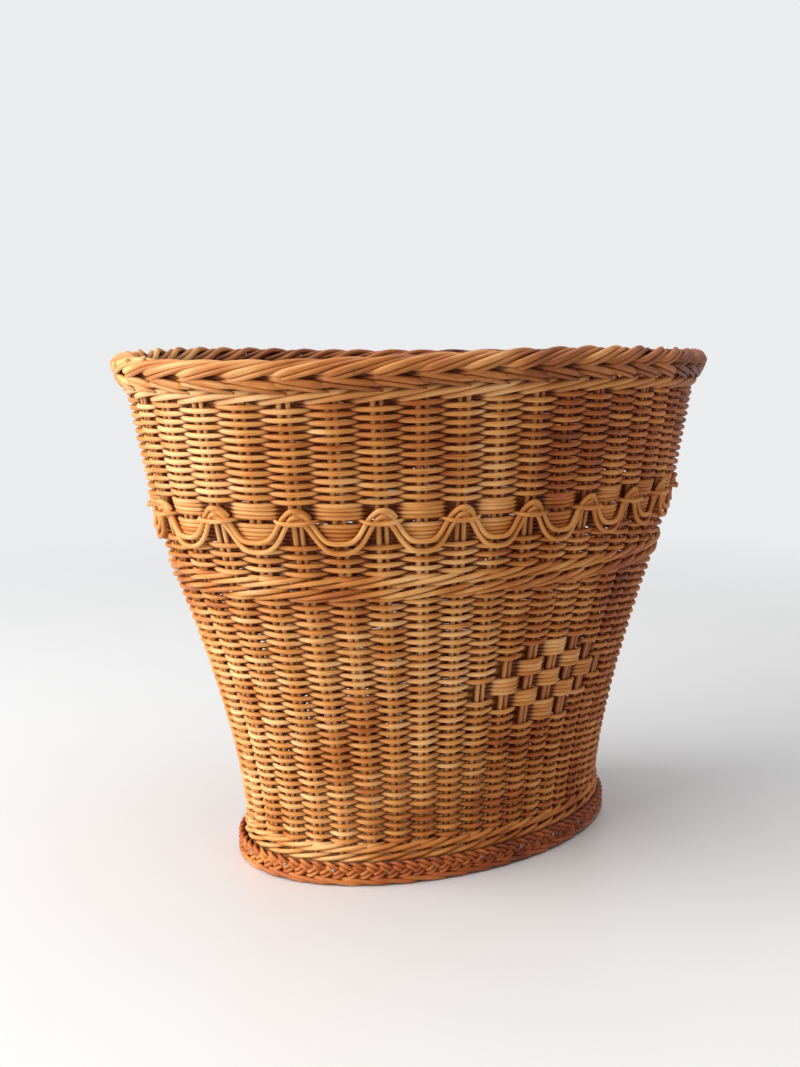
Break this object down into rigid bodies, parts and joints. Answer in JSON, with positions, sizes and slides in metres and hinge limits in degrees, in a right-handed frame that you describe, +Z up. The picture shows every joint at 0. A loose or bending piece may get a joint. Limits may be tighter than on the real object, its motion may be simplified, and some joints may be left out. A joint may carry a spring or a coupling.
{
  "type": "oval wicker wastebasket",
  "caption": "Open-topped oval wicker wastebasket that flares from a plaited foot to a rolled rim, with a flat-band collar and draped arch trim.",
  "frame": {"origin": "centre of the underside of the foot, on the surface the basket stands on", "axes": "+Z up through the mouth; X along the oval's long axis; -Y towards the broad side with the diamond"},
  "size_m": [0.4322, 0.2912, 0.305],
  "materials": {
    "rattan_weave": "round rattan reed, clear coated, honey tan, satin",
    "rattan_stake": "round rattan reed, clear coated, satin",
    "rattan_trim": "round rattan reed, clear coated, satin, lighter",
    "rattan_rim": "thick rattan reed, clear coated, satin, handled brown",
    "rattan_foot": "plaited rattan reed, stained reddish brown, satin",
    "board_wood": "plain softwood board, lightly varnished",
    "nail_metal": "dull grey wire nails"
  },
  "bodies": {
    "root": {"base_board": "board_wood", "stakes": "rattan_stake", "bye_stakes": "rattan_stake", "foot_border": "rattan_foot", "foot_braid": "rattan_foot", "braid_nails": "nail_metal", "bottom_wale_1": "rattan_weave", "bottom_wale_2": "rattan_weave", "lower_weave": "rattan_weave", "diamond_weave": "rattan_weave", "shoulder_weave": "rattan_weave", "mid_wale_1": "rattan_weave", "mid_wale_2": "rattan_weave", "mid_weave": "rattan_weave", "lower_flat_band": "rattan_trim", "divider_row": "rattan_trim", "upper_flat_band": "rattan_trim", "upper_draped_reed": "rattan_trim", "lower_draped_reed": "rattan_trim", "upper_weave": "rattan_weave", "rim_wale": "rattan_rim", "rim_border_lower": "rattan_rim", "rim_border_upper": "rattan_rim"}
  },
  "joints": []
}
